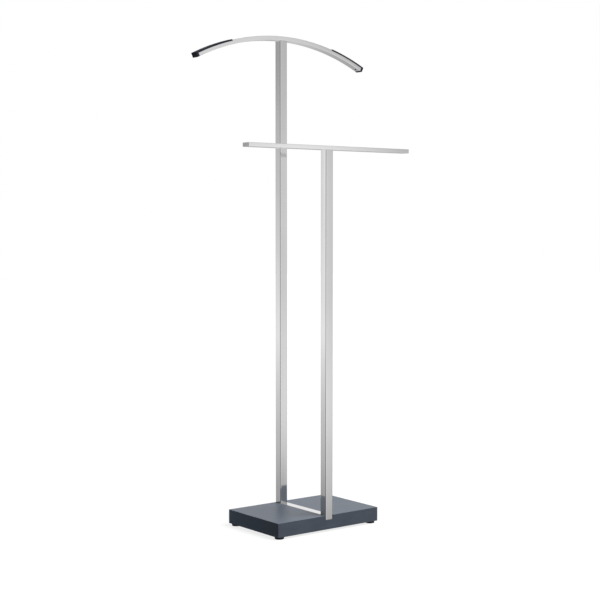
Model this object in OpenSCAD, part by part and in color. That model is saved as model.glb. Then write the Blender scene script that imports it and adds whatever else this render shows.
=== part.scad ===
// Valet stand: a stone base slab, a slim frame of polished stainless steel,
// a straight trouser rail on the front post and a curved shoulder bow on the
// back post. +Z is up, the front is towards -Y, and the origin is on the floor
// at the middle of the base.

/* [Base slab] */
// Width of the stone slab, left to right
slab_width = 276; // [200:1:360]
// Depth of the stone slab, front to back
slab_depth = 182; // [130:1:260]
// Thickness of the stone slab
slab_thickness = 30.5; // [25:0.5:45]
// Arris taken off the slab's edges
slab_arris = 0.8; // [0.3:0.1:2]

/* [Feet] */
// Diameter of each rubber foot
foot_diameter = 20; // [12:0.5:30]
// Height of a foot below the slab
foot_height = 5; // [3:0.5:10]
// Distance from a foot's centre to the two slab edges beside it
foot_inset = 12; // [11:0.5:40]
// Diameter of the moulded stem pushed into the slab
foot_stem_diameter = 8; // [5:0.5:10]
// Length of the moulded stem
foot_stem_length = 12; // [6:1:18]
// Radial clearance of the stem in its hole
foot_stem_clearance = 0.1; // [0.05:0.05:0.3]

/* [Posts] */
// Outside width of the square tube
post_width = 19.2; // [16:0.1:26]
// Wall thickness of the tube
post_wall = 1.5; // [1:0.1:2.5]
// Outside corner radius of the tube
post_corner = 1.8; // [1:0.1:3]
// Clearance round a plug inside the tube
plug_clearance = 0.1; // [0.05:0.05:0.3]
// Thickness of the flange under a post, which closes the tube
foot_plug_flange = 4.4; // [3:0.1:8]
// Length of the foot plug inside the tube
foot_plug_length = 26; // [20:1:50]
// Length of the plug inside the top of a post
top_plug_length = 22; // [15:1:50]

/* [Floor bar] */
// Thickness of the flat bar let into the slab, which is also the groove's depth
floor_bar_thickness = 9.5; // [6:0.5:14]
// Gap between the bar or post and each side of the groove
groove_clearance = 0.5; // [0.1:0.1:1]
// Gap between each end of the bar and the post beside it
floor_bar_end_gap = 0.1; // [0.05:0.05:0.4]

/* [Trouser rail] */
// Length of the rail
rail_length = 439; // [300:1:560]
// Depth of the rail, front to back
rail_depth = 22; // [16:0.1:30]
// Thickness of the rail
rail_thickness = 8.8; // [6:0.1:14]
// Height of the rail's top face above the floor
rail_top = 831.5; // [600:0.5:960]
// How far the rail's middle lies to the right of the post
rail_offset = 8; // [-20:0.5:20]
// Arris taken off the long edges of the rail and the bow
bar_arris = 0.5; // [0.2:0.1:1.5]

/* [Shoulder bow] */
// Height of the bow's crown, the highest point of the stand
total_height = 1080; // [980:1:1250]
// Radius of the bow's upper face
bow_radius = 525; // [380:1:900]
// Straight distance between the steel ends of the bow
bow_span = 452.5; // [360:0.5:520]
// Depth of the bow, front to back
bow_depth = 19.2; // [16:0.1:30]
// Thickness of the bow
bow_thickness = 9.5; // [7:0.5:14]

/* [Shoulder pads] */
// Length of a pad along the bow, without the part over the end
pad_length = 94.2; // [50:0.1:140]
// Thickness of the rubber pad
pad_thickness = 3.8; // [2:0.1:6]
// Depth of the step milled into the bow for the pad
pad_recess = 2.3; // [0.5:0.1:3]
// Thickness of the rubber over the end of the bow
pad_wrap = 5.8; // [1.5:0.1:8]
// Gap between the pad and the shoulder of its step
pad_end_gap = 0.3; // [0.1:0.1:1]
// Distance from the bow's end to the pad's moulded peg
peg_inset = 7.2; // [6:0.1:30]
// Diameter of the moulded peg
peg_diameter = 4; // [3:0.1:6]
// How far the peg's end stands out under the bow
peg_stand = 0.6; // [0.2:0.1:1.5]
// Radial clearance of the peg in its hole
peg_clearance = 0.1; // [0.05:0.05:0.3]

/* [Bolts under the slab] */
// Thread diameter of the bolt into each post
post_bolt_diameter = 8; // [6:1:8]
// Length of the post bolt under its head
post_bolt_length = 30; // [28:1:36]
// How far the post bolt reaches above the groove's floor
post_bolt_reach = 18; // [12:1:20]
// Thread diameter of the bolt into the floor bar
bar_bolt_diameter = 6; // [4:1:6]
// Length of the bar bolt under its head
bar_bolt_length = 16; // [14:1:20]
// How far the bar bolt reaches above the groove's floor
bar_bolt_reach = 6; // [4:0.5:7]
// Thickness of the washers under the bolt heads
washer_thickness = 1.6; // [1:0.1:2.5]
// Radial clearance of a bolt in the stone
bolt_clearance = 0.5; // [0.2:0.1:1.5]
// Radial clearance of a washer in its counterbore
counterbore_clearance = 1; // [0.5:0.1:3]

/* [Screws on top] */
// Thread diameter of the countersunk screws in the rail and the bow
screw_diameter = 4; // [3:0.5:4]
// Length of a countersunk screw
screw_length = 16; // [14:1:20]
// Distance between the two screws of a pair
screw_spacing = 10; // [9:0.5:11]
// How far a screw's head lies below the face around it
screw_sink = 0.2; // [0.1:0.1:0.6]
// Radial clearance of a screw in the rail or the bow
screw_clearance = 0.2; // [0.1:0.05:0.4]
// Radial gap between a screw's thread, drawn plain, and its tapped hole
thread_gap = 0.02; // [0.01:0.01:0.1]

/* [Hidden] */

$fn = 64;
past = 1;                 // how far a cut runs past the face it opens
steel = [0.80, 0.80, 0.80];
plain_steel = [0.66, 0.67, 0.69];
stone = [0.31, 0.33, 0.37];
rubber = [0.10, 0.10, 0.13];

slab_top = foot_height + slab_thickness;
groove_floor = slab_top - floor_bar_thickness;
groove_width = post_width + 2 * groove_clearance;
front_post_y = -slab_depth / 2 + post_width / 2;
back_post_y = slab_depth / 2 - post_width / 2;
tube_bottom = groove_floor + foot_plug_flange;
tube_inside = post_width - 2 * post_wall;
plug_width = tube_inside - 2 * plug_clearance;
plug_corner = max(post_corner - post_wall, 0.4);

rail_underside = rail_top - rail_thickness;
bow_centre = total_height - bow_radius;
bow_inside = bow_radius - bow_thickness;
// the post's flat top meets the curved underside at the post's two side faces
bow_seat = bow_centre + sqrt(pow(bow_inside, 2) - pow(post_width / 2, 2));
bow_half_angle = asin(bow_span / 2 / bow_radius);
function along_bow(distance) = distance / bow_radius * 180 / PI;
pad_bottom = bow_radius - pad_recess;
pad_top = pad_bottom + pad_thickness;
peg_angle = bow_half_angle - along_bow(peg_inset);

// a metric bolt's head, washer and tapped hole follow from its thread
function head_diameter(d) = 1.6 * d + 0.2;
function head_height(d) = d;
function socket_width(d) = 0.75 * d;
function washer_diameter(d) = 2 * d;
function tapped(d) = d + 2 * thread_gap;
function sunk_head(d) = 2 * d;
post_washer_top = groove_floor + post_bolt_reach - post_bolt_length + washer_thickness;
bar_washer_top = groove_floor + bar_bolt_reach - bar_bolt_length + washer_thickness;

// a rectangle with its four corners cut off
module cut_rectangle(width, height, cut) {
    x = width / 2;
    y = height / 2;
    polygon([[-x + cut, -y], [x - cut, -y], [x, -y + cut], [x, y - cut],
        [x - cut, y], [-x + cut, y], [-x, y - cut], [-x, -y + cut]]);
}

// a square with round corners
module round_square(width, corner) {
    inner = width - 2 * corner;
    square([width, inner], center = true);
    square([inner, width], center = true);
    for (x = [-1, 1], y = [-1, 1])
        translate([x * inner / 2, y * inner / 2]) circle(r = corner);
}

// a bar along X with its long edges broken, its middle at the origin
module flat_bar(length, depth, thickness, cut) {
    rotate([90, 0, 90]) linear_extrude(length, center = true) cut_rectangle(depth, thickness, cut);
}

// a piece of ring about the bow's centre, from one angle off upright to another,
// counted towards +X
module bow_ring(from, to, inside, outside, depth, cut) {
    translate([0, back_post_y, bow_centre]) rotate([90, 0, 0]) rotate([0, 0, 90 - to])
        rotate_extrude(angle = to - from, $fn = 360)
            translate([(inside + outside) / 2, 0]) cut_rectangle(outside - inside, depth, cut);
}

// a round along the radius of the bow at an angle off upright
module bow_round(angle, inside, outside, diameter) {
    translate([0, back_post_y, bow_centre]) rotate([0, angle, 0])
        translate([0, 0, inside]) cylinder(h = outside - inside, d = diameter);
}

// places a child at both screws of a pair
module screw_pair() {
    for (x = [-1, 1]) translate([x * screw_spacing / 2, 0, 0]) children();
}

// a countersunk hole, its mouth at z = 0
module sunk_hole(through) {
    hole = screw_diameter + 2 * screw_clearance;
    mouth = sunk_head(screw_diameter) + 2 * screw_clearance;
    cone = (mouth - hole) / 2;
    translate([0, 0, -through]) cylinder(h = through + past, d = hole);
    translate([0, 0, -screw_sink - cone]) cylinder(h = cone, d1 = hole, d2 = mouth);
    translate([0, 0, -screw_sink]) cylinder(h = screw_sink + past, d = mouth);
}

// a countersunk socket screw for that hole
module sunk_screw() {
    head = sunk_head(screw_diameter);
    cone = (head - screw_diameter) / 2;
    socket_depth = 0.4 * screw_diameter;
    translate([0, 0, -screw_sink]) difference() {
        union() {
            translate([0, 0, -cone]) cylinder(h = cone, d1 = screw_diameter, d2 = head);
            translate([0, 0, -screw_length]) cylinder(h = screw_length - cone, d = screw_diameter);
        }
        translate([0, 0, -socket_depth])
            cylinder(h = socket_depth + past, d = 0.6 * screw_diameter, $fn = 6);
    }
}

// a socket-head bolt pointing up, the face under its head at z = 0
module cap_bolt(diameter, length) {
    difference() {
        union() {
            translate([0, 0, -head_height(diameter)])
                cylinder(h = head_height(diameter), d = head_diameter(diameter));
            cylinder(h = length, d = diameter);
        }
        translate([0, 0, -head_height(diameter) - past])
            cylinder(h = past + diameter / 2, d = socket_width(diameter), $fn = 6);
    }
}

module washer(diameter) {
    difference() {
        cylinder(h = washer_thickness, d = washer_diameter(diameter));
        translate([0, 0, -past])
            cylinder(h = washer_thickness + 2 * past, d = diameter + 2 * screw_clearance);
    }
}

// the clearance hole and counterbore under the slab for one bolt
module bolt_well(diameter, washer_top) {
    cylinder(h = washer_top, d = washer_diameter(diameter) + 2 * counterbore_clearance);
    cylinder(h = slab_top, d = diameter + 2 * bolt_clearance);
}

module foot_places() {
    for (x = [-1, 1], y = [-1, 1])
        translate([x * (slab_width / 2 - foot_inset), y * (slab_depth / 2 - foot_inset), 0]) children();
}

module base_slab() {
    color(stone) difference() {
        translate([0, 0, foot_height + slab_thickness / 2]) intersection() {
            rotate([90, 0, 0]) linear_extrude(slab_depth, center = true)
                cut_rectangle(slab_width, slab_thickness, slab_arris);
            rotate([90, 0, 90]) linear_extrude(slab_width, center = true)
                cut_rectangle(slab_depth, slab_thickness, slab_arris);
            linear_extrude(slab_thickness, center = true)
                cut_rectangle(slab_width, slab_depth, slab_arris);
        }
        // the groove runs through from front to back
        translate([-groove_width / 2, -slab_depth / 2 - past, groove_floor])
            cube([groove_width, slab_depth + 2 * past, floor_bar_thickness + past]);
        for (y = [front_post_y, back_post_y])
            translate([0, y, 0]) bolt_well(post_bolt_diameter, post_washer_top);
        bolt_well(bar_bolt_diameter, bar_washer_top);
        foot_places() cylinder(h = foot_height + foot_stem_length + past,
            d = foot_stem_diameter + 2 * foot_stem_clearance);
    }
}

// a push-in foot with a stem and a broken lower edge
module foot(side_x, side_y) {
    edge = foot_height / 5;
    color(rubber)
        translate([side_x * (slab_width / 2 - foot_inset), side_y * (slab_depth / 2 - foot_inset), 0]) {
            cylinder(h = edge, d1 = foot_diameter - 2 * edge, d2 = foot_diameter);
            translate([0, 0, edge]) cylinder(h = foot_height - edge, d = foot_diameter);
            translate([0, 0, edge]) cylinder(h = foot_height - edge + foot_stem_length,
                d = foot_stem_diameter);
        }
}

module foot_front_left() { foot(-1, -1); }
module foot_front_right() { foot(1, -1); }
module foot_back_left() { foot(-1, 1); }
module foot_back_right() { foot(1, 1); }

module floor_bar() {
    length = slab_depth - 2 * post_width - 2 * floor_bar_end_gap;
    color(steel) difference() {
        translate([-post_width / 2, -length / 2, groove_floor])
            cube([post_width, length, floor_bar_thickness]);
        // blind tapped hole for the bolt from below
        translate([0, 0, groove_floor - past])
            cylinder(h = past + bar_bolt_reach + 1, d = tapped(bar_bolt_diameter));
    }
}

module post(y, top) {
    color(steel) translate([0, y, tube_bottom]) linear_extrude(top - tube_bottom) difference() {
        round_square(post_width, post_corner);
        round_square(tube_inside, plug_corner);
    }
}

module front_post() { post(front_post_y, rail_underside); }
module back_post() { post(back_post_y, bow_seat); }

// the flange stands on the groove's floor and the plug fills the tube above it
module foot_plug(y) {
    color(plain_steel) translate([0, y, groove_floor]) difference() {
        union() {
            linear_extrude(foot_plug_flange) round_square(post_width, post_corner);
            linear_extrude(foot_plug_flange + foot_plug_length) round_square(plug_width, plug_corner);
        }
        translate([0, 0, -past]) cylinder(h = post_bolt_reach + 4 + past, d = tapped(post_bolt_diameter));
    }
}

module front_foot_plug() { foot_plug(front_post_y); }
module back_foot_plug() { foot_plug(back_post_y); }

// two tapped holes for the countersunk screws from above
module top_plug(y, top) {
    color(plain_steel) translate([0, y, top - top_plug_length]) difference() {
        linear_extrude(top_plug_length) round_square(plug_width, plug_corner);
        screw_pair() translate([0, 0, -past])
            cylinder(h = top_plug_length + 2 * past, d = tapped(screw_diameter));
    }
}

module front_top_plug() { top_plug(front_post_y, rail_underside); }
module back_top_plug() { top_plug(back_post_y, bow_seat); }

module trouser_rail() {
    color(steel) difference() {
        translate([rail_offset, front_post_y - post_width / 2 + rail_depth / 2, rail_top - rail_thickness / 2])
            flat_bar(rail_length, rail_depth, rail_thickness, bar_arris);
        translate([0, front_post_y, rail_top]) screw_pair() sunk_hole(rail_thickness + past);
    }
}

module rail_screws() {
    color(plain_steel) translate([0, front_post_y, rail_top]) screw_pair() sunk_screw();
}

module shoulder_bow() {
    color(steel) difference() {
        bow_ring(-bow_half_angle, bow_half_angle, bow_inside, bow_radius, bow_depth, bar_arris);
        for (side = [0, 1]) mirror([side, 0, 0]) {
            // the step for the pad, and the hole for its peg
            bow_ring(bow_half_angle - along_bow(pad_length + pad_end_gap), bow_half_angle + along_bow(past),
                pad_bottom, bow_radius + past, bow_depth + 2 * past, 0);
            bow_round(peg_angle, bow_inside - past, bow_radius, peg_diameter + 2 * peg_clearance);
        }
        translate([0, back_post_y, total_height]) screw_pair() sunk_hole(bow_thickness + past);
    }
}

module bow_screws() {
    color(plain_steel) translate([0, back_post_y, total_height]) screw_pair() sunk_screw();
}

// a strip that lies in the bow's step, turns down over its end and is held by a
// moulded peg pulled through the bow
module shoulder_pad() {
    color(rubber) union() {
        bow_ring(bow_half_angle - along_bow(pad_length), bow_half_angle + along_bow(pad_wrap),
            pad_bottom, pad_top, bow_depth, bar_arris);
        bow_ring(bow_half_angle, bow_half_angle + along_bow(pad_wrap),
            bow_inside, pad_top, bow_depth, bar_arris);
        bow_round(peg_angle, bow_inside - peg_stand, pad_bottom + pad_thickness / 2, peg_diameter);
    }
}

module shoulder_pad_left() { mirror([1, 0, 0]) shoulder_pad(); }
module shoulder_pad_right() { shoulder_pad(); }

module post_bolts() {
    color(plain_steel) for (y = [front_post_y, back_post_y])
        translate([0, y, post_washer_top - washer_thickness]) cap_bolt(post_bolt_diameter, post_bolt_length);
}

module post_washers() {
    color(plain_steel) for (y = [front_post_y, back_post_y])
        translate([0, y, post_washer_top - washer_thickness]) washer(post_bolt_diameter);
}

module bar_bolt() {
    color(plain_steel) translate([0, 0, bar_washer_top - washer_thickness])
        cap_bolt(bar_bolt_diameter, bar_bolt_length);
}

module bar_washer() {
    color(plain_steel) translate([0, 0, bar_washer_top - washer_thickness]) washer(bar_bolt_diameter);
}

base_slab();
foot_front_left();
foot_front_right();
foot_back_left();
foot_back_right();
floor_bar();
front_post();
back_post();
front_foot_plug();
back_foot_plug();
front_top_plug();
back_top_plug();
trouser_rail();
rail_screws();
shoulder_bow();
bow_screws();
shoulder_pad_left();
shoulder_pad_right();
post_bolts();
post_washers();
bar_bolt();
bar_washer();
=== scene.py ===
import math

import bmesh
import bpy
from mathutils import Matrix, Vector


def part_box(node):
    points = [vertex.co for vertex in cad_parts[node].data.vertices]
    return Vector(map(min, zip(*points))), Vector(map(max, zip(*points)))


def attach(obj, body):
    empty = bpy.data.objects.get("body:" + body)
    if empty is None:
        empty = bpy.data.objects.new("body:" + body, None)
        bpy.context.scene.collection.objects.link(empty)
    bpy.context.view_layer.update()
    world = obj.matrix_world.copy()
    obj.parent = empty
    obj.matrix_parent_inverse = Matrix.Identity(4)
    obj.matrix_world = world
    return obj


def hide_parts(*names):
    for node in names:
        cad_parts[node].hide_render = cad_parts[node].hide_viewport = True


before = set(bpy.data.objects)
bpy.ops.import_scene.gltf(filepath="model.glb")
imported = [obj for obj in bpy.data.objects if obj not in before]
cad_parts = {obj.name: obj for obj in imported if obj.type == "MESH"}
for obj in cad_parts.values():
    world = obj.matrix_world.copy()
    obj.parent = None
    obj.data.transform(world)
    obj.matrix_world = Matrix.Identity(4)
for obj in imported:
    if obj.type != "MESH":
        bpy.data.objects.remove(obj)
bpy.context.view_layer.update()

# ---- Camera ------------------------------------------------------------------
# A long lens at the height of a table, looking slightly down at the stand from
# its front left corner.

camera_place = (-1.7960, -2.3125, 0.6643)
camera_turn = 37.683  # degrees from straight ahead towards the right
camera_dip = 3.249  # degrees below level
camera_lens = 80.01  # mm on a 36 mm sensor

camera = bpy.data.cameras.new("camera")
camera.lens = camera_lens
camera.sensor_width = 36.0
camera_object = bpy.data.objects.new("camera", camera)
camera_object.location = camera_place
camera_object.rotation_euler = (math.radians(90.0 - camera_dip), 0.0, math.radians(-camera_turn))
bpy.context.scene.collection.objects.link(camera_object)
bpy.context.scene.camera = camera_object
bpy.context.scene.view_settings.view_transform = "Standard"


# ---- Floor and studio light --------------------------------------------------
# A pale seamless floor under one broad soft light, with a small cool lamp beside the
# slab. What the steel mirrors is the studio around it: bright bands near the horizon,
# a dim ceiling, dark curtains at the left, a white screen and a dark flag.


class Signal:
    """A socket in a shader tree. Arithmetic on it adds Math nodes."""

    def __init__(self, tree, socket=None):
        self.tree = tree
        self.socket = socket

    def add(self, kind, settings=None, sockets=None, out=0):
        """Adds a node: its settings come first, then its sockets' values or links."""
        node = self.tree.nodes.new(kind)
        for name, value in (settings or {}).items():
            if name == "stops":
                elements = node.color_ramp.elements
                for place, colour in value[2:]:
                    elements.new(place)
                for element, (place, colour) in zip(elements, value):
                    element.position = place
                    element.color = colour
            else:
                setattr(node, name, value)
        for name, value in (sockets or {}).items():
            if isinstance(value, Signal):
                self.tree.links.new(value.socket, node.inputs[name])
            else:
                node.inputs[name].default_value = value
        return Signal(self.tree, node.outputs[out]) if node.outputs else node

    def math(self, operation, *terms):
        return self.add("ShaderNodeMath", {"operation": operation}, dict(enumerate(terms)))

    def __add__(self, other):
        return self.math("ADD", self, other)

    def __sub__(self, other):
        return self.math("SUBTRACT", self, other)

    def __rsub__(self, other):
        return self.math("SUBTRACT", other, self)

    def __mul__(self, other):
        return self.math("MULTIPLY", self, other)

    def __truediv__(self, other):
        return self.math("DIVIDE", self, other)

    def __rtruediv__(self, other):
        return self.math("DIVIDE", other, self)

    __radd__ = __add__
    __rmul__ = __mul__

    def dot(self, direction):
        """How far a vector signal points along a direction."""
        sockets = {0: self, 1: direction}
        return self.add("ShaderNodeVectorMath", {"operation": "DOT_PRODUCT"}, sockets, "Value")

    def ramp(self, stops):
        """Brightness or colour from (place, value) stops; a single number is a grey."""
        colours = [(place, value if isinstance(value, tuple) else (value, value, value, 1.0))
                   for place, value in stops]
        return self.add("ShaderNodeValToRGB", {"stops": colours}, {0: self})

    def mix(self, first, second):
        """Goes from one colour to another as this signal goes from 0 to 1."""
        return self.add("ShaderNodeMix", {"data_type": "RGBA"}, {0: self, 6: first, 7: second}, 2)


def sky(levels):
    """Ramp stops over a direction's height, from (degrees above level, brightness) pairs."""
    return [(0.5 + 0.5 * math.sin(math.radians(angle)), level) for angle, level in levels]


def compass(levels):
    """Ramp stops over a direction's bearing, from (degrees right of straight back, value)."""
    return [(0.5 + bearing / 360.0, level) for bearing, level in levels]


# brightness of the studio towards the back left, the front and the back right, as
# (degrees above level, brightness)
left_levels = [
    (-90, 0.95), (-45, 0.70), (-25, 0.15), (-13.5, 0.20), (-12, 0.47), (-11.3, 0.49),
    (-10.7, 0.58), (-9.5, 0.70), (-8.3, 0.76), (-7.1, 0.88), (-5.9, 1.02), (-4.7, 1.13),
    (-3.5, 1.04), (-2.3, 0.97),
    (-1.1, 0.91), (0.1, 0.82), (1.3, 0.77), (3.1, 0.69), (4.1, 0.65), (5.6, 0.53), (7.6, 0.46),
    (15, 0.40), (30, 0.30), (60, 0.30), (90, 0.60),
]
front_levels = [
    (-90, 0.95), (-40, 0.85), (-20, 0.55), (-12.5, 0.57), (-11.9, 0.69), (-11.3, 0.78),
    (-10.1, 0.84), (-8.9, 0.93), (-7.7, 0.99), (-6.5, 0.98), (-4.1, 0.93), (-2.9, 0.87),
    (1.9, 0.86), (3.1, 0.84), (4.1, 0.79), (5.6, 0.71), (7.6, 0.64), (15, 0.52), (30, 0.32),
    (60, 0.30), (90, 0.60),
]
back_levels = [
    (-90, 0.60), (-50, 0.42), (-38, 0.40), (-32, 0.41), (-25, 0.44), (-18, 0.54), (-12, 0.60),
    (-8, 0.54), (-3, 0.46), (3, 0.66), (7, 0.90), (12, 1.05), (25, 1.05), (45, 0.70), (70, 0.40),
    (90, 0.60),
]
# which of those a bearing shows, and how bright the studio is all round, low and high up
front_share = [(-180, 1), (-150, 1), (-100, 0.5), (-60, 0), (60, 0), (100, 1), (180, 1)]
back_share = [(-180, 0), (-30, 0), (-15, 1), (75, 1), (95, 0), (180, 0)]
round_levels = [
    (-180, 1.55), (-165, 1.55), (-150, 0.32), (-58, 0.32), (-43, 1.0), (60, 1.0), (90, 0.85),
    (120, 0.50), (136, 0.52), (137.7, 0.60), (139.6, 0.90), (140.6, 0.98), (141.2, 1.01),
    (141.9, 1.08), (142.5, 1.04), (143.2, 0.98), (144.6, 0.92), (147, 0.87), (150, 1.30),
    (155, 1.55), (180, 1.55),
]
high_round_levels = [
    (-180, 1.55), (-165, 1.55), (-150, 0.32), (-58, 0.32), (-43, 1.0), (60, 1.0), (90, 0.85),
    (120, 0.45), (138, 0.42), (139.9, 0.50), (140.3, 0.66), (140.8, 0.88), (141.7, 1.01),
    (142.3, 1.08), (143, 1.04), (143.8, 1.18), (144.5, 1.16), (145.2, 1.06), (147, 0.97),
    (150, 1.30), (155, 1.55), (180, 1.55),
]
high_up = [(-90, 0), (4.5, 0), (7.0, 1), (90, 1)]
# a white screen just past the back end of the curtains, by bearing and by height
screen_bearings = [(-180, 0), (-46, 0), (-42, 1), (-38.4, 1), (-37.9, 0), (180, 0)]
screen_heights = [(-90, 0), (-6, 0), (-4.5, 0.25), (-1.9, 0.57), (0.4, 0.75), (1.8, 0.89),
                  (3.3, 1), (15, 1), (25, 0), (90, 0)]
screen_level = (1.3, 1.3, 1.3, 1.0)
# and a dark flag low down at the front right
flag_bearings = [(-180, 0), (141.8, 0), (142.9, 0.8), (143.6, 1), (150, 1), (165, 0), (180, 0)]
flag_heights = [(-90, 0), (-25, 0), (-14, 0.6), (-11.1, 0.62), (-10.65, 0.38), (-10, 0.14),
                (-9.2, 0), (90, 0)]
flag_level = (0.35, 0.35, 0.35, 1.0)
# light from all round on rough surfaces, the broad light, and the lamp at the slab's left
ambient = (0.026, 0.036, 0.050, 1.0)
sun_strength = 4.35
sun_from = Vector((0.36, -0.48, 1.0))
sun_spread = 40.0  # degrees
fill_strength = 0.38
fill_colour = (0.62, 0.82, 1.0)
fill_size = 0.12
fill_place = Vector((-0.45, 0.32, 0.12))
fill_aim = Vector((-0.14, 0.06, 0.01))
floor_size = 24.0
floor_colour = (0.19, 0.19, 0.19)
floor_roughness = 0.9
floor_glow = 0.80
white = (1.0, 1.0, 1.0, 1.0)

world = bpy.data.worlds.new("studio")
world.use_nodes = True
world.node_tree.nodes.clear()
studio = Signal(world.node_tree)
towards = studio.add("ShaderNodeTexCoord", out="Generated")
height = towards.dot((0.0, 0.0, 0.5)) + 0.5
bearing = studio.math("ARCTAN2", towards.dot((1.0, 0.0, 0.0)), towards.dot((0.0, 1.0, 0.0)))
bearing = bearing / math.tau + 0.5
sides = bearing.ramp(compass(front_share)).mix(
    height.ramp(sky(left_levels)), height.ramp(sky(front_levels)))
all_round = bearing.ramp(compass(back_share)).mix(sides, height.ramp(sky(back_levels)))
screen = bearing.ramp(compass(screen_bearings)) * height.ramp(sky(screen_heights))
flag = bearing.ramp(compass(flag_bearings)) * height.ramp(sky(flag_heights))
lit = screen.mix(flag.mix(all_round, flag_level), screen_level)
level_round = height.ramp(sky(high_up)).mix(
    bearing.ramp(compass(round_levels)), bearing.ramp(compass(high_round_levels)))
mirrored = studio.add("ShaderNodeMix", {"data_type": "RGBA", "blend_type": "MULTIPLY"},
                      {0: 1.0, 6: lit, 7: level_round}, 2)
is_seen = studio.add("ShaderNodeLightPath", out="Is Camera Ray")
is_mirror = studio.add("ShaderNodeLightPath", out="Is Glossy Ray")
shown = is_mirror.mix(is_seen.mix(ambient, white), mirrored)
backdrop = studio.add("ShaderNodeBackground", sockets={"Color": shown})
studio.add("ShaderNodeOutputWorld", sockets={"Surface": backdrop})
bpy.context.scene.world = world

sun = bpy.data.lights.new("softbox", "SUN")
sun.energy = sun_strength
sun.angle = math.radians(sun_spread)
sun_object = bpy.data.objects.new("softbox", sun)
sun_object.rotation_euler = sun_from.to_track_quat("Z", "Y").to_euler()
sun_object.visible_glossy = False
bpy.context.scene.collection.objects.link(sun_object)

fill = bpy.data.lights.new("side_fill", "AREA")
fill.energy = fill_strength
fill.color = fill_colour
fill.size = fill_size
fill_object = bpy.data.objects.new("side_fill", fill)
fill_object.location = fill_place
fill_object.rotation_euler = (fill_place - fill_aim).to_track_quat("Z", "Y").to_euler()
fill_object.visible_glossy = False
fill_object.visible_camera = False
bpy.context.scene.collection.objects.link(fill_object)


def new_material(name, colour, roughness, metallic=0.0, specular=0.5):
    """A material with one surface shader. Gives the material, its shader and a signal."""
    material = bpy.data.materials.new(name)
    material.use_nodes = True
    shader = material.node_tree.nodes["Principled BSDF"]
    shader.inputs["Base Color"].default_value = (*colour, 1.0)
    shader.inputs["Roughness"].default_value = roughness
    shader.inputs["Metallic"].default_value = metallic
    shader.inputs["Specular IOR Level"].default_value = specular
    return material, shader, Signal(material.node_tree)


floor_mesh = bmesh.new()
bmesh.ops.create_grid(floor_mesh, x_segments=1, y_segments=1, size=floor_size / 2)
floor_data = bpy.data.meshes.new("floor")
floor_mesh.to_mesh(floor_data)
floor_mesh.free()
floor = bpy.data.objects.new("floor", floor_data)
pale_floor, floor_shader, _ = new_material("pale_floor", floor_colour, floor_roughness)
floor_shader.inputs["Emission Color"].default_value = white
floor_shader.inputs["Emission Strength"].default_value = floor_glow
floor.data.materials.append(pale_floor)
floor.visible_diffuse = False
floor.visible_glossy = False
bpy.context.scene.collection.objects.link(floor)


# ---- Base slab ---------------------------------------------------------------
# A block of dark, honed slate that keeps the stand upright. Its arrises are
# eased, a groove for the floor bar runs along its top from front to back, and
# its underside is drilled for three bolts and for the stems of the feet.

slab_low, slab_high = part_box("base_slab")
bar_low, bar_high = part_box("floor_bar")
groove_gap = 0.0005
slab_arris = 0.0006
well_gap = 0.001
stem_radius = 0.004
stem_gap = 0.0001
round_steps = 48
crease_angle = 30.0  # degrees, past which an edge stays sharp
same_place = 1e-6  # closer than this, two points count as one
foot_boxes = {name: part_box(name) for name in
              ("foot_front_left", "foot_front_right", "foot_back_left", "foot_back_right")}
foot_places = {name: ((low + high) / 2).xy.to_3d() for name, (low, high) in foot_boxes.items()}


def place_piece(name, mesh, material, replaced):
    """Makes a smooth-shaded piece that rides on the stand and replaces CAD nodes."""
    data = bpy.data.meshes.new(name)
    mesh.to_mesh(data)
    mesh.free()
    data.shade_smooth()
    data.set_sharp_from_angle(angle=math.radians(crease_angle))
    data.materials.append(material)
    piece = bpy.data.objects.new(name, data)
    bpy.context.scene.collection.objects.link(piece)
    even = piece.modifiers.new("even_faces", "WEIGHTED_NORMAL")
    even.keep_sharp = True
    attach(piece, "root")
    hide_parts(*replaced)
    return piece


def turned(profile, steps=round_steps):
    """A solid turned about Z from (radius, height) points. Unless they start and end on
    the axis, they close on themselves into a ring."""
    mesh = bmesh.new()
    points = [mesh.verts.new((radius, 0.0, level)) for radius, level in profile]
    ends = [] if profile[0][0] == profile[-1][0] == 0.0 else [(points[-1], points[0])]
    edges = [mesh.edges.new(pair) for pair in [*zip(points, points[1:]), *ends]]
    bmesh.ops.spin(mesh, geom=points + edges, cent=(0, 0, 0), axis=(0, 0, 1),
                   angle=math.tau, steps=steps, use_merge=True)
    bmesh.ops.remove_doubles(mesh, verts=mesh.verts, dist=same_place)
    bmesh.ops.recalc_face_normals(mesh, faces=mesh.faces)
    return mesh


def move(mesh, place, turn=None):
    """Turns a mesh about the origin, moves it and gives it back."""
    bmesh.ops.transform(mesh, matrix=Matrix.Translation(place) @ (turn or Matrix()),
                        verts=mesh.verts)
    return mesh


def gather(meshes):
    """Puts separate solids into one mesh."""
    whole = bmesh.new()
    for mesh in meshes:
        data = bpy.data.meshes.new("part")
        mesh.to_mesh(data)
        mesh.free()
        whole.from_mesh(data)
        bpy.data.meshes.remove(data)
    return whole


def carve(mesh, tool, operation="DIFFERENCE"):
    """Cuts one solid with another, or joins the two, and gives the result."""
    solids = []
    for part in (mesh, tool):
        data = bpy.data.meshes.new("solid")
        part.to_mesh(data)
        part.free()
        solids.append(bpy.data.objects.new("solid", data))
        bpy.context.scene.collection.objects.link(solids[-1])
    boolean = solids[0].modifiers.new("carve", "BOOLEAN")
    boolean.operation = operation
    boolean.object = solids[1]
    boolean.solver = "EXACT"
    bpy.context.view_layer.update()
    result = bmesh.new()
    result.from_object(solids[0], bpy.context.evaluated_depsgraph_get())
    for solid in solids:
        data = solid.data
        bpy.data.objects.remove(solid)
        bpy.data.meshes.remove(data)
    return result


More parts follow.
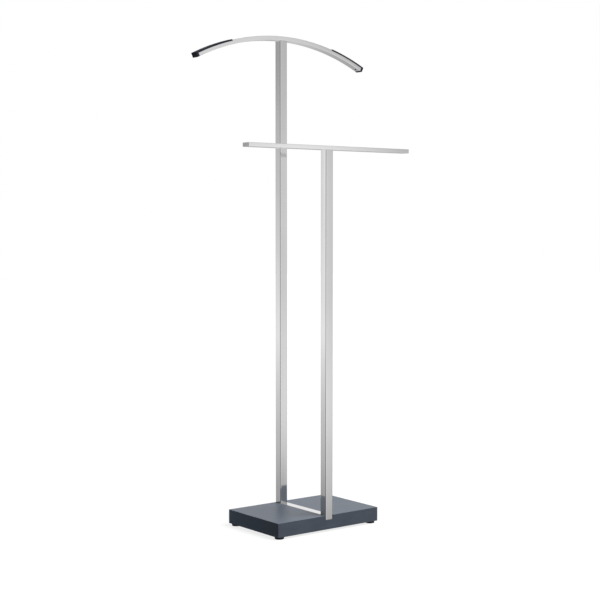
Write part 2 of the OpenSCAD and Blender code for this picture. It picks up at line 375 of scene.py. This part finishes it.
def extruded(outline, along):
    """A solid made from a flat outline, pushed along a vector."""
    mesh = bmesh.new()
    end = mesh.faces.new([mesh.verts.new(point) for point in outline])
    grown = bmesh.ops.extrude_face_region(mesh, geom=[end])["geom"]
    moved = [item for item in grown if isinstance(item, bmesh.types.BMVert)]
    bmesh.ops.translate(mesh, verts=moved, vec=along)
    bmesh.ops.recalc_face_normals(mesh, faces=mesh.faces)
    return mesh


def ease(mesh, edges, offset, segments=3):
    """Rounds off edges."""
    bmesh.ops.bevel(mesh, geom=edges, offset=offset, offset_type="OFFSET", segments=segments,
                    profile=0.5, affect="EDGES", material=-1)


def bolt_rows(bolt_node):
    """The places across the stand of the bolts in a node: one, or one under each post."""
    low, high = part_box(bolt_node)
    radius = (high.x - low.x) / 2
    return [low.y + radius] if high.y - low.y < 3 * radius else [low.y + radius, high.y - radius]


def bolt_wells(bolt_node, washer_node):
    """Tools for the counterbores and the clearance holes above them."""
    washer_low, washer_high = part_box(washer_node)
    wide = (washer_high.x - washer_low.x) / 2 + well_gap
    narrow = wide / 2
    start = slab_low.z - well_gap
    end = bar_low.z + well_gap
    profile = [(0.0, start), (wide, start), (wide, washer_high.z), (narrow, washer_high.z),
               (narrow, end), (0.0, end)]
    return [move(turned(profile), (0.0, y, 0.0)) for y in bolt_rows(bolt_node)]


def slab_blank():
    """The slab with its groove, before it is drilled."""
    half_groove = bar_high.x + groove_gap
    outline = [
        (slab_low.x, slab_low.z), (slab_high.x, slab_low.z), (slab_high.x, slab_high.z),
        (half_groove, slab_high.z), (half_groove, bar_low.z), (-half_groove, bar_low.z),
        (-half_groove, slab_high.z), (slab_low.x, slab_high.z),
    ]
    mesh = extruded([(x, slab_low.y, z) for x, z in outline], (0, slab_high.y - slab_low.y, 0))
    outer = [edge for edge in mesh.edges
             if not all(abs(vert.co.z - bar_low.z) < same_place for vert in edge.verts)]
    ease(mesh, outer, slab_arris)
    return mesh


def stem_hole(place):
    """A tool for the blind hole that takes a foot's stem."""
    stem_top = foot_boxes["foot_front_left"][1].z
    radius = stem_radius + stem_gap
    start = slab_low.z - well_gap
    end = stem_top + well_gap
    return move(turned([(0.0, start), (radius, start), (radius, end), (0.0, end)]), place)


def feed(shader, socket, signal):
    """Links a signal to one of the shader's sockets."""
    signal.tree.links.new(signal.socket, shader.inputs[socket])


def slate():
    """Dense blue-grey stone: fine grain, faint clouds and bedding, and a honed surface."""
    material, shader, stone = new_material("honed_slate", (0.09, 0.10, 0.12), 0.42, specular=0.22)
    place = stone.add("ShaderNodeTexCoord", out="Object")
    bedded = stone.add("ShaderNodeMapping", sockets={"Vector": place, "Scale": (9.0, 9.0, 60.0)})
    streaks = stone.add("ShaderNodeTexNoise", sockets={
        "Vector": bedded, "Scale": 2.0, "Detail": 5.0, "Roughness": 0.6, "Distortion": 0.8})
    cloud = stone.add("ShaderNodeTexNoise", sockets={
        "Vector": place, "Scale": 18.0, "Detail": 6.0, "Roughness": 0.6})
    grain = stone.add("ShaderNodeTexNoise", sockets={
        "Vector": place, "Scale": 700.0, "Detail": 3.0, "Roughness": 0.7})
    tone = streaks * 0.25 + cloud * 0.45 + grain * 0.30
    colour = tone.ramp([(0.36, (0.080, 0.096, 0.121, 1.0)), (0.5, (0.094, 0.111, 0.139, 1.0)),
                        (0.64, (0.110, 0.128, 0.159, 1.0))])
    feed(shader, "Base Color", colour)
    feed(shader, "Roughness", cloud * 0.16 + grain * 0.10 + 0.30)
    relief = stone.add("ShaderNodeBump", sockets={
        "Strength": 0.25, "Distance": 0.0002, "Height": grain * 0.7 + streaks * 0.3})
    feed(shader, "Normal", relief)
    return material


slab_mesh = slab_blank()
slab_tools = [*bolt_wells("post_bolts", "post_washers"), *bolt_wells("bar_bolt", "bar_washer")]
slab_tools += [stem_hole(place) for place in foot_places.values()]
slab_mesh = carve(slab_mesh, gather(slab_tools))
place_piece("stone_slab", slab_mesh, slate(), ["base_slab"])


# ---- Feet --------------------------------------------------------------------
# Four low rubber discs, each moulded with a stem that is pushed into the
# slab's underside, close to its corner. The lower edge is rounded and the
# sole slightly hollow, so that it grips.

foot_edge = 0.001
foot_hollow = 0.0004
hollow_share = 0.8  # of the sole's flat radius
tread_share = 0.88
edge_steps = 4


def arc(centre, radius, start, end):
    """Points along an arc, its angles in degrees from the first axis."""
    angles = [math.radians(start + (end - start) * step / edge_steps)
              for step in range(edge_steps + 1)]
    return [(centre[0] + radius * math.cos(angle), centre[1] + radius * math.sin(angle))
            for angle in angles]


def foot(name):
    """A rubber disc with its stem."""
    low, high = foot_boxes[name]
    radius = (high.x - low.x) / 2
    rim = radius - foot_edge
    sole = [(0.0, low.z + foot_hollow), (rim * hollow_share, low.z + foot_hollow),
            (rim * tread_share, low.z)]
    side = arc((rim, low.z + foot_edge), foot_edge, -90.0, 0.0)
    shoulder = [(radius, slab_low.z), (stem_radius, slab_low.z)]
    tip = arc((stem_radius - foot_edge, high.z - foot_edge), foot_edge, 0.0, 90.0)
    return move(turned([*sole, *side, *shoulder, *tip, (0.0, high.z)]), foot_places[name])


def black_rubber(name, colour, roughness):
    """Moulded black rubber with a fine matt skin and a little dust in it."""
    material, shader, rubber = new_material(name, colour, roughness, specular=0.4)
    place = rubber.add("ShaderNodeTexCoord", out="Object")
    skin = rubber.add("ShaderNodeTexNoise", sockets={
        "Vector": place, "Scale": 1600.0, "Detail": 2.0, "Roughness": 0.6})
    dust = rubber.add("ShaderNodeTexNoise", sockets={
        "Vector": place, "Scale": 60.0, "Detail": 4.0, "Roughness": 0.6})
    dusty = tuple(value * 1.7 + 0.003 for value in colour)
    feed(shader, "Base Color", dust.ramp([(0.4, (*colour, 1.0)), (0.75, (*dusty, 1.0))]))
    feed(shader, "Roughness", dust * 0.15 + (roughness - 0.07))
    relief = rubber.add("ShaderNodeBump", sockets={
        "Strength": 0.3, "Distance": 0.0002, "Height": skin})
    feed(shader, "Normal", relief)
    return material


rubber_colour = (0.0235, 0.0255, 0.0350)
foot_rubber = black_rubber("foot_rubber", rubber_colour, 0.6)
for foot_name in foot_boxes:
    place_piece("rubber_" + foot_name, foot(foot_name), foot_rubber, [foot_name])


# ---- Posts -------------------------------------------------------------------
# Two square tubes of stainless steel, drawn with round corners and polished
# bright. Their open ends are closed by the plugs, the rail and the bow.

post_wall = 0.0015
post_corner = 0.0018
corner_steps = 8
grain_depth = 0.00001
end_band = 0.0001
# painted shade: the darker base colour given to a bar's end faces
end_painted_shade = (0.44, 0.44, 0.44, 1.0)
ground_roughness = 0.1


def tube(low, high):
    """A square tube with round corners, made from one ring pushed up to the tube's length."""
    mesh = bmesh.new()
    corners = [(low.x, low.y), (high.x, low.y), (high.x, high.y), (low.x, high.y)]
    end = mesh.faces.new([mesh.verts.new((x, y, low.z)) for x, y in corners])
    bmesh.ops.bevel(mesh, geom=list(mesh.verts), offset=post_corner, offset_type="OFFSET",
                    segments=corner_steps, profile=0.5, affect="VERTICES", material=-1)
    bmesh.ops.inset_region(mesh, faces=list(mesh.faces), thickness=post_wall,
                           use_boundary=True, use_even_offset=True)
    inner = min(mesh.faces, key=lambda face: abs(len(face.verts) - 4 * (corner_steps + 1)))
    bmesh.ops.delete(mesh, geom=[inner], context="FACES_ONLY")
    grown = bmesh.ops.extrude_face_region(mesh, geom=list(mesh.faces))["geom"]
    moved = [item for item in grown if isinstance(item, bmesh.types.BMVert)]
    bmesh.ops.translate(mesh, verts=moved, vec=(0, 0, high.z - low.z))
    bmesh.ops.recalc_face_normals(mesh, faces=mesh.faces)
    return mesh


def bright_steel(name, colour, roughness, grain_scale, ground_and_shaded_ends=None):
    """Polished stainless steel with fine grain along the piece and faint wipe marks. The
    ground ends of a bar, given as (middle, half length) along X, are rougher, and their darker
    colour is painted shade."""
    material, shader, steel = new_material(name, colour, roughness, metallic=1.0)
    place = steel.add("ShaderNodeTexCoord", out="Object")
    drawn = steel.add("ShaderNodeMapping", sockets={"Vector": place, "Scale": grain_scale})
    grain = steel.add("ShaderNodeTexNoise", sockets={
        "Vector": drawn, "Scale": 1.0, "Detail": 3.0, "Roughness": 0.7})
    wiped = steel.add("ShaderNodeTexNoise", sockets={
        "Vector": place, "Scale": 14.0, "Detail": 4.0, "Roughness": 0.55})
    dull = tuple(value * 0.97 for value in colour)
    tone = wiped.ramp([(0.35, (*dull, 1.0)), (0.65, (*colour, 1.0))])
    finish = wiped * 0.04 + grain * 0.03 + (roughness - 0.035)
    if ground_and_shaded_ends:
        middle, half_length = ground_and_shaded_ends
        along = steel.add("ShaderNodeSeparateXYZ", sockets={0: place}, out="X")
        at_end = steel.math("GREATER_THAN", steel.math("ABSOLUTE", along - middle),
                            half_length - end_band)
        # painted shade on the end faces: they take a darker base colour, and real grinding makes
        # them rougher
        tone = at_end.mix(tone, end_painted_shade)
        finish = finish + at_end * ground_roughness
    feed(shader, "Base Color", tone)
    feed(shader, "Roughness", finish)
    relief = steel.add("ShaderNodeBump", sockets={
        "Strength": 0.15, "Distance": grain_depth, "Height": grain})
    feed(shader, "Normal", relief)
    return material


post_colour = (0.68, 0.68, 0.68)
post_grain = (2500.0, 2500.0, 12.0)
post_steel = bright_steel("polished_post_steel", post_colour, 0.07, post_grain)
for post_name in ("front_post", "back_post"):
    place_piece(post_name + "_tube", tube(*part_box(post_name)), post_steel, [post_name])


# ---- Floor bar ---------------------------------------------------------------
# A flat stainless bar let flush into the slab's groove between the two posts,
# polished like them and tapped from below for one bolt.

bar_arris = 0.0003
bar_bolt_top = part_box("bar_bolt")[1].z
bar_thread = 0.003
tap_gap = 0.00002
tap_spare = 0.001


def block(low, high, arris):
    """A plain bar with eased edges."""
    mesh = bmesh.new()
    bmesh.ops.create_cube(mesh, size=1.0, matrix=Matrix.Translation((low + high) / 2)
                          @ Matrix.Diagonal((*(high - low), 1.0)))
    ease(mesh, list(mesh.edges), arris)
    return mesh


def plain_hole(radius, start, end, place):
    """A tool for a straight upright hole."""
    return move(turned([(0.0, start), (radius, start), (radius, end), (0.0, end)]), place)


bar_hole = plain_hole(bar_thread + tap_gap, bar_low.z - tap_spare, bar_bolt_top + tap_spare,
                      (0, 0, 0))
floor_bar_mesh = carve(block(bar_low, bar_high, bar_arris), bar_hole)
bar_grain = (2500.0, 12.0, 2500.0)
bar_steel = bright_steel("polished_bar_steel", post_colour, 0.10, bar_grain)
place_piece("let_in_floor_bar", floor_bar_mesh, bar_steel, ["floor_bar"])


# ---- Foot plugs --------------------------------------------------------------
# A solid steel plug closes the foot of each post. Its polished flange has the
# tube's outline and stands in the groove, and its body, which is tapped for the
# bolt from below, fills the tube above it.

flange_height = 0.0044
seam_arris = 0.00025
plug_gap = 0.0001
post_thread = 0.004
post_tap_spare = 0.004
flange_colour = (0.64, 0.64, 0.64)


def round_square(low, high, corner, steps=corner_steps):
    """An upright bar of square section with round corners."""
    corners = [(low.x, low.y), (high.x, low.y), (high.x, high.y), (low.x, high.y)]
    mesh = extruded([(x, y, low.z) for x, y in corners], (0, 0, high.z - low.z))
    upright = [edge for edge in mesh.edges
               if abs(edge.verts[0].co.z - edge.verts[1].co.z) > same_place]
    ease(mesh, upright, corner, steps)
    return mesh


def plug_body(post_low, post_high, start, end):
    """The part of a plug that fills the tube."""
    inset = post_wall + plug_gap
    low = Vector((post_low.x + inset, post_low.y + inset, start))
    high = Vector((post_high.x - inset, post_high.y - inset, end))
    return round_square(low, high, post_corner - post_wall, 4)


def foot_plug(post_name, plug_name):
    """The flange and the body in one piece, with the tapped hole."""
    post_low, post_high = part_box(post_name)
    low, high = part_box(plug_name)
    flange = round_square(low, Vector((high.x, high.y, low.z + flange_height)), post_corner)
    rims = [edge for edge in flange.edges
            if abs(edge.verts[0].co.z - edge.verts[1].co.z) < same_place]
    ease(flange, rims, seam_arris, 2)
    body = plug_body(post_low, post_high, low.z + flange_height / 2, high.z)
    joined = carve(flange, body, "UNION")
    hole_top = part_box("post_bolts")[1].z + post_tap_spare
    middle = (0.0, (low.y + high.y) / 2, 0.0)
    return carve(joined, plain_hole(post_thread + tap_gap, low.z - tap_spare, hole_top, middle))


flange_steel = bright_steel("polished_flange_steel", flange_colour, 0.12, post_grain)
for post_name, plug_name in (("front_post", "front_foot_plug"), ("back_post", "back_foot_plug")):
    place_piece(plug_name + "_flanged", foot_plug(post_name, plug_name), flange_steel,
                [plug_name])


# ---- Top plugs ---------------------------------------------------------------
# A machined steel plug closes the top of each post, out of sight, and is tapped
# for the two screws that hold the rail or the bow.

screw_half_gap = 0.005
screw_thread = 0.002


def machined():
    """Plain machined steel with the fine rings that a cutter leaves."""
    material, shader, steel = new_material("machined_steel", (0.52, 0.53, 0.55), 0.32, metallic=1.0)
    place = steel.add("ShaderNodeTexCoord", out="Object")
    level = steel.add("ShaderNodeSeparateXYZ", sockets={0: place}, out="Z")
    rings = level.math("SINE", level * 9000.0)
    stain = steel.add("ShaderNodeTexNoise", sockets={
        "Vector": place, "Scale": 90.0, "Detail": 4.0, "Roughness": 0.6})
    feed(shader, "Base Color", stain.ramp([(0.3, (0.44, 0.45, 0.47, 1.0)),
                                           (0.7, (0.56, 0.57, 0.59, 1.0))]))
    feed(shader, "Roughness", stain * 0.2 + 0.22)
    relief = steel.add("ShaderNodeBump", sockets={
        "Strength": 0.2, "Distance": 0.00002, "Height": rings})
    feed(shader, "Normal", relief)
    return material


machined_steel = machined()


def top_plug(post_name, plug_name):
    """A plug with its two tapped holes."""
    low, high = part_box(plug_name)
    body = plug_body(*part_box(post_name), low.z, high.z)
    middle = (low.y + high.y) / 2
    holes = [plain_hole(screw_thread + tap_gap, low.z - tap_spare, high.z + tap_spare,
                        (side * screw_half_gap, middle, 0.0)) for side in (-1, 1)]
    return carve(body, gather(holes))


for post_name, plug_name in (("front_post", "front_top_plug"), ("back_post", "back_top_plug")):
    place_piece(plug_name + "_tapped", top_plug(post_name, plug_name), machined_steel,
                [plug_name])


# ---- Bolts and washers -------------------------------------------------------
# Socket-head bolts with plain washers come up through the slab, one into each
# foot plug and one into the floor bar. They sit in deep counterbores.

washer_gap = 0.0002
head_share = 1.6  # head radius to thread radius
head_extra = 0.0001
socket_share = 0.75  # socket radius to thread radius
hex_sides = 6


def cap_bolt(head_low, length_top, thread, place):
    """A socket-head bolt pointing up."""
    head_radius = head_share * thread + head_extra
    head_top = head_low + 2 * thread
    chamfer = thread / 8
    profile = [
        (0.0, head_low), (head_radius - chamfer, head_low), (head_radius, head_low + chamfer),
        (head_radius, head_top), (thread, head_top), (thread, length_top - chamfer),
        (thread - chamfer, length_top), (0.0, length_top),
    ]
    socket_top = head_low + thread
    socket_radius = socket_share * thread
    socket = turned([(0.0, head_low - thread), (socket_radius, head_low - thread),
                     (socket_radius, socket_top), (0.0, socket_top)], hex_sides)
    return move(carve(turned(profile), socket), place)


def washer(low, high, thread, place):
    """A plain washer with slightly rounded rims."""
    inside = thread + washer_gap
    outside = 2 * thread
    rim = (high - low) / 6
    profile = [(inside, low), (outside - rim, low), (outside, low + rim), (outside, high - rim),
               (outside - rim, high), (inside, high)]
    return move(turned(profile), place)


def zinc():
    """Bright zinc-plated steel, slightly clouded."""
    material, shader, steel = new_material("plated_steel", (0.60, 0.61, 0.63), 0.28, metallic=1.0)
    place = steel.add("ShaderNodeTexCoord", out="Object")
    cloud = steel.add("ShaderNodeTexNoise", sockets={
        "Vector": place, "Scale": 240.0, "Detail": 4.0, "Roughness": 0.6})
    feed(shader, "Base Color", cloud.ramp([(0.3, (0.54, 0.55, 0.56, 1.0)),
                                           (0.7, (0.66, 0.67, 0.69, 1.0))]))
    feed(shader, "Roughness", cloud * 0.25 + 0.18)
    relief = steel.add("ShaderNodeBump", sockets={
        "Strength": 0.15, "Distance": 0.00003, "Height": cloud})
    feed(shader, "Normal", relief)
    return material


plated_steel = zinc()
for bolt_node, washer_node, thread in (("post_bolts", "post_washers", post_thread),
                                       ("bar_bolt", "bar_washer", bar_thread)):
    bolt_low, bolt_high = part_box(bolt_node)
    washer_low, washer_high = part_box(washer_node)
    places = [(0.0, y, 0.0) for y in bolt_rows(bolt_node)]
    bolts = [cap_bolt(bolt_low.z, bolt_high.z, thread, place) for place in places]
    washers = [washer(washer_low.z, washer_high.z, thread, place) for place in places]
    place_piece("socket_" + bolt_node, gather(bolts), plated_steel, [bolt_node])
    place_piece("plain_" + washer_node, gather(washers), plated_steel, [washer_node])


# ---- Trouser rail ------------------------------------------------------------
# A flat bar of stainless steel with a satin polish, laid across the top of the
# front post. Two countersunk screws go down through it into the post's plug.

rail_low, rail_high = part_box("trouser_rail")
rail_arris = 0.0005
sunk_depth = 0.0002
screw_gap = 0.0002
front_low, front_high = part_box("front_post")
front_middle = (front_low.y + front_high.y) / 2
screw_socket_share = 0.6  # socket radius to thread radius


def sunk_holes(level, through, middle):
    """Tools for the two countersunk holes of a joint, their mouths at a level."""
    hole = screw_thread + screw_gap
    mouth = 2 * screw_thread + screw_gap
    over = screw_thread
    profile = [(0.0, level - through), (hole, level - through),
               (hole, level - sunk_depth - (mouth - hole)), (mouth, level - sunk_depth),
               (mouth, level + over), (0.0, level + over)]
    return gather([move(turned(profile), (side * screw_half_gap, middle, 0.0))
                   for side in (-1, 1)])


def sunk_screws(low, high, middle):
    """A pair of countersunk socket screws."""
    head = 2 * screw_thread
    socket_depth = 0.8 * screw_thread
    socket_radius = screw_socket_share * screw_thread
    tip = screw_thread / 4
    profile = [(0.0, low), (screw_thread - tip, low), (screw_thread, low + tip),
               (screw_thread, high - (head - screw_thread)), (head, high), (0.0, high)]
    screws = []
    for side in (-1, 1):
        socket = turned([(0.0, high - socket_depth), (socket_radius, high - socket_depth),
                         (socket_radius, high + tip), (0.0, high + tip)], hex_sides)
        screws.append(move(carve(turned(profile), socket),
                           (side * screw_half_gap, middle, 0.0)))
    return gather(screws)


rail_holes = sunk_holes(rail_high.z, rail_high.z - rail_low.z + tap_spare, front_middle)
rail_mesh = carve(block(rail_low, rail_high, rail_arris), rail_holes)
rail_grain = (12.0, 1800.0, 1800.0)
satin_colour = (0.93, 0.93, 0.93)
rail_middle = (rail_low.x + rail_high.x) / 2
satin_roughness = 0.10
rail_steel = bright_steel("satin_rail_steel", satin_colour, satin_roughness, rail_grain,
                          (rail_middle, rail_high.x - rail_middle))
place_piece("flat_trouser_rail", rail_mesh, rail_steel, ["trouser_rail"])
screw_low, screw_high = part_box("rail_screws")
place_piece("countersunk_rail_screws", sunk_screws(screw_low.z, screw_high.z, front_middle),
            plated_steel, ["rail_screws"])


# ---- Shoulder bow ------------------------------------------------------------
# A flat stainless bar rolled to a shallow arc and screwed down across the back
# post. A step is milled into its top near each end for the rubber pad, with a
# small hole through it for the pad's peg.

bow_low, bow_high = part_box("shoulder_bow")
bow_radius = 0.525
bow_thickness = 0.0095
bow_arris = 0.0005
bow_steps = 145  # an odd number, so that no edge stands on the crown
recess_steps = 27
bow_inside = bow_radius - bow_thickness
bow_centre = Vector((0.0, (bow_low.y + bow_high.y) / 2, bow_high.z - bow_radius))
pad_length = 0.0942
pad_recess = 0.0023
pad_end_gap = 0.0003
pad_bottom = bow_radius - pad_recess
bow_half_angle = math.asin(bow_high.x / pad_bottom)
peg_radius = 0.002
peg_gap = 0.0001
peg_inset = 0.0072
peg_angle = bow_half_angle - peg_inset / bow_radius
step_overrun = 0.001


def ring_piece(start, end, inside, outside, depth, corner, steps):
    """A stretch of a ring about the bow's centre, its angles in radians off upright and
    counted towards the right. A corner above zero rounds the section's four corners."""
    mesh = bmesh.new()
    half = depth / 2
    section = [(inside, -half), (outside, -half), (outside, half), (inside, half)]
    face = mesh.faces.new([mesh.verts.new((radius * math.sin(start), y, radius * math.cos(start)))
                           for radius, y in section])
    if corner:
        bmesh.ops.bevel(mesh, geom=list(mesh.verts), offset=corner, offset_type="OFFSET",
                        segments=3, profile=0.5, affect="VERTICES", material=-1)
        face = mesh.faces[:][0]
    bmesh.ops.spin(mesh, geom=[face, *face.edges, *face.verts], cent=(0, 0, 0), axis=(0, 1, 0),
                   angle=end - start, steps=steps)
    bmesh.ops.recalc_face_normals(mesh, faces=mesh.faces)
    return move(mesh, bow_centre)


def along_radius(profile, angle):
    """A turned solid along the bow's radius at an angle, from (radius, distance) points."""
    return move(turned(profile), bow_centre, Matrix.Rotation(angle, 4, "Y"))


def bow_tools():
    """Tools for the screw holes, the pads' steps and the pegs' holes."""
    tools = [sunk_holes(bow_high.z, 2 * bow_thickness, bow_centre.y)]
    depth = bow_high.y - bow_low.y + 2 * step_overrun
    start = bow_half_angle - (pad_length + pad_end_gap) / bow_radius
    end = bow_half_angle + step_overrun / bow_radius
    hole = peg_radius + peg_gap
    for side in (-1, 1):
        tools.append(ring_piece(side * start, side * end, pad_bottom,
                                bow_radius + step_overrun, depth, 0.0, recess_steps))
        profile = [(0.0, bow_inside - step_overrun), (hole, bow_inside - step_overrun),
                   (hole, bow_radius), (0.0, bow_radius)]
        tools.append(along_radius(profile, side * peg_angle))
    return tools


bow_mesh = ring_piece(-bow_half_angle, bow_half_angle, bow_inside, bow_radius,
                      bow_high.y - bow_low.y, bow_arris, bow_steps)
for tool in bow_tools():
    bow_mesh = carve(bow_mesh, tool)
bow_steel = bright_steel("satin_bow_steel", satin_colour, satin_roughness, rail_grain)
place_piece("rolled_shoulder_bow", bow_mesh, bow_steel, ["shoulder_bow"])
screw_low, screw_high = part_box("bow_screws")
place_piece("countersunk_bow_screws", sunk_screws(screw_low.z, screw_high.z, bow_centre.y),
            plated_steel, ["bow_screws"])


# ---- Shoulder pads -----------------------------------------------------------
# Strips of black rubber that lie in the bow's steps so that a jacket doesn't
# slip. Each turns down over the bow's end, and a peg moulded under it is
# pulled through the hole in the bow.

pad_thickness = 0.0038
pad_wrap = 0.0058
pad_round = 0.0003
peg_stand = 0.0006
pad_steps = 27
lip_crease = 40.0  # degrees
pad_top = pad_bottom + pad_thickness


def radius_of(vert):
    return math.hypot(vert.co.x - bow_centre.x, vert.co.z - bow_centre.z)


def sideways(face):
    return face.calc_center_median().x


def grow(mesh, face, matrix):
    """Extrudes one face of a solid and moves its new end."""
    region = [face, *face.edges, *face.verts]
    grown = bmesh.ops.extrude_face_region(mesh, geom=region)["geom"]
    moved = [item for item in grown if isinstance(item, bmesh.types.BMVert)]
    bmesh.ops.transform(mesh, matrix=matrix, verts=moved)


def pad(side):
    """A pad with its turned-down end and its peg; the left one mirrors the right."""
    start = bow_half_angle - pad_length / bow_radius
    end = bow_half_angle + pad_wrap / bow_radius
    mesh = ring_piece(start, bow_half_angle, pad_bottom, pad_top, bow_high.y - bow_low.y, 0.0,
                      pad_steps)
    # the end face grows past the bow's end, and the new underside down over it
    turn = Matrix.Rotation(end - bow_half_angle, 4, "Y")
    about = Matrix.Translation(bow_centre) @ turn @ Matrix.Translation(-bow_centre)
    grow(mesh, max(mesh.faces, key=sideways), about)
    under = [face for face in mesh.faces
             if all(radius_of(vert) < pad_bottom + same_place for vert in face.verts)]
    lip_face = max(under, key=sideways)
    inwards = -(lip_face.calc_center_median() - bow_centre).normalized()
    grow(mesh, lip_face, Matrix.Translation(inwards * (pad_bottom - bow_inside)))
    bmesh.ops.recalc_face_normals(mesh, faces=mesh.faces)
    sharp = [edge for edge in mesh.edges
             if edge.is_convex and edge.calc_face_angle(0.0) > math.radians(lip_crease)]
    ease(mesh, sharp, pad_round, 4)
    low = bow_inside - peg_stand
    dome = arc((peg_radius - peg_stand / 2, low + peg_stand / 2), peg_stand / 2, -90.0, 0.0)
    profile = [(0.0, low), *dome, (peg_radius, pad_bottom + pad_thickness / 2),
               (0.0, pad_bottom + pad_thickness / 2)]
    mesh = carve(mesh, along_radius(profile, peg_angle), "UNION")
    if side < 0:
        bmesh.ops.scale(mesh, vec=(-1.0, 1.0, 1.0), verts=mesh.verts)
    bmesh.ops.recalc_face_normals(mesh, faces=mesh.faces)
    return mesh


pad_rubber = black_rubber("pad_rubber", rubber_colour, 0.75)
for side, pad_node in ((-1, "shoulder_pad_left"), (1, "shoulder_pad_right")):
    place_piece("rubber_" + pad_node, pad(side), pad_rubber, [pad_node])
